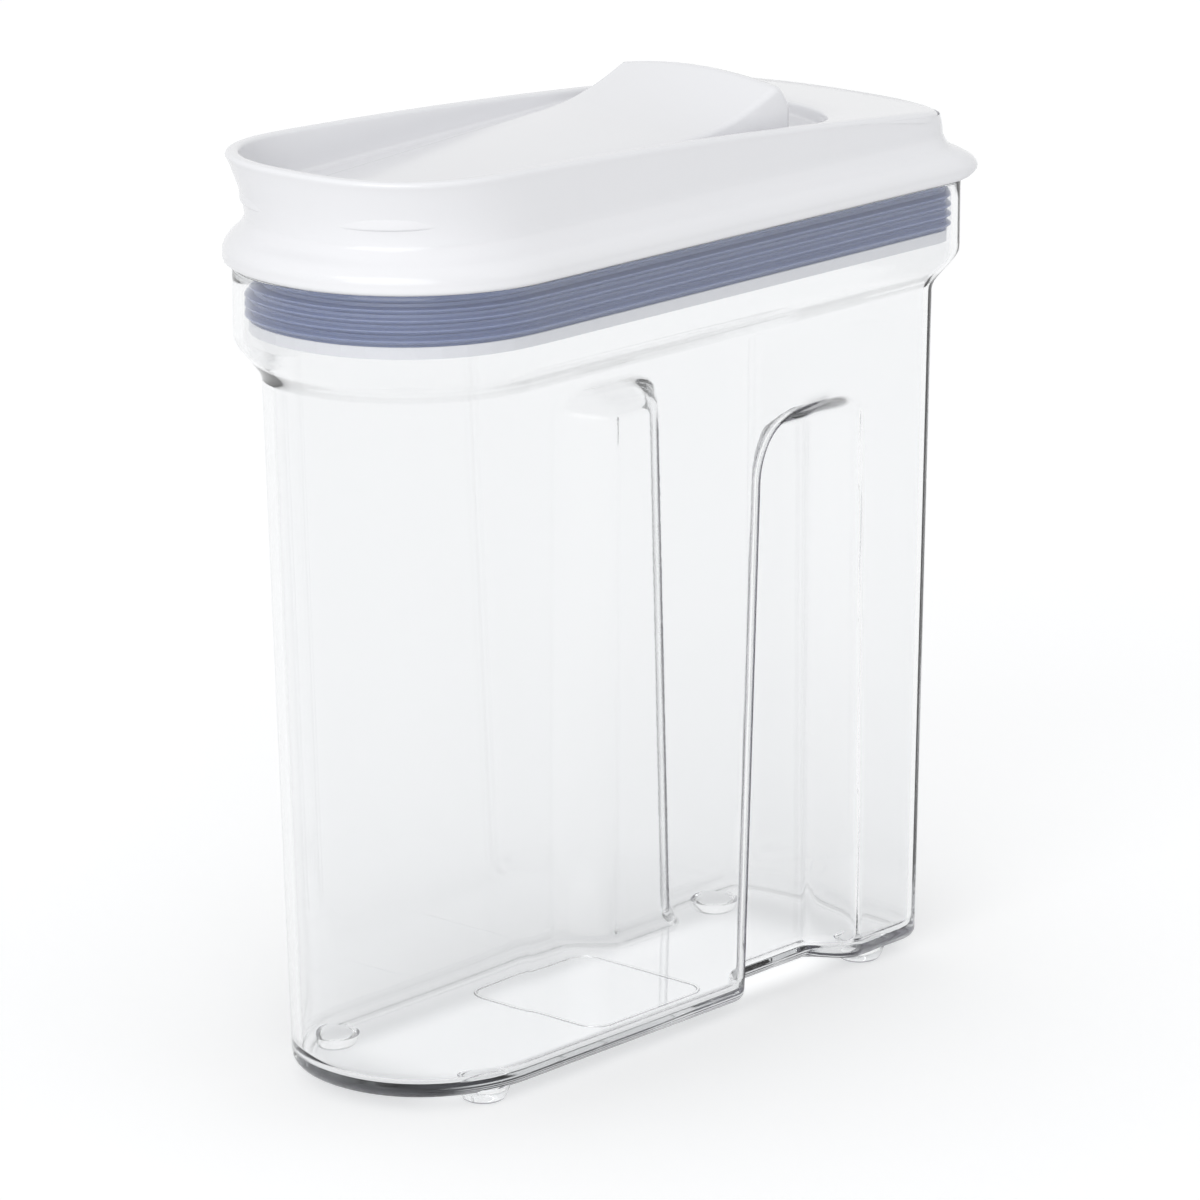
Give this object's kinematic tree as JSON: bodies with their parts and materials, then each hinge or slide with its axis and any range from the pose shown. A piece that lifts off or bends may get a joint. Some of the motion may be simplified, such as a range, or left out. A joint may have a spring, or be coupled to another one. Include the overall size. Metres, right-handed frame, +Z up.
{
  "type": "cereal container with flip spout",
  "caption": "Tall clear storage container with a wide gasketed lid and a hinged flip-up door over its pouring spout.",
  "frame": {"origin": "centre of the overall footprint, on the table plane under the four feet", "axes": "+X towards the rear, where the lid's lift lip is, with the spout at -X, +Y across the width, +Z up"},
  "size_m": [0.1846, 0.0734, 0.1975],
  "materials": {
    "clear_plastic": "clear, polished",
    "white_plastic": "white, glossy",
    "inner_plastic": "white, satin",
    "blue_silicone": "translucent blue-grey silicone"
  },
  "bodies": {
    "jug": {"jug": "clear_plastic"},
    "lid": {"lid_cover": "white_plastic", "lid_plug": "inner_plastic", "rim_gasket": "blue_silicone", "hinge_pin_near": "inner_plastic", "hinge_pin_far": "inner_plastic"},
    "door": {"flip_door": "white_plastic", "door_liner": "inner_plastic", "spout_seal": "blue_silicone"}
  },
  "joints": [
    {"name": "lid_lift", "type": "slide", "parent": "jug", "child": "lid", "axis": [0, 0, 1], "range_m": [0, 0.045]},
    {"name": "door_hinge", "type": "hinge", "parent": "lid", "child": "door", "pos_m": [0.033, 0, 0.18735], "axis": [0, 1, 0], "range_deg": [0, 90]}
  ]
}
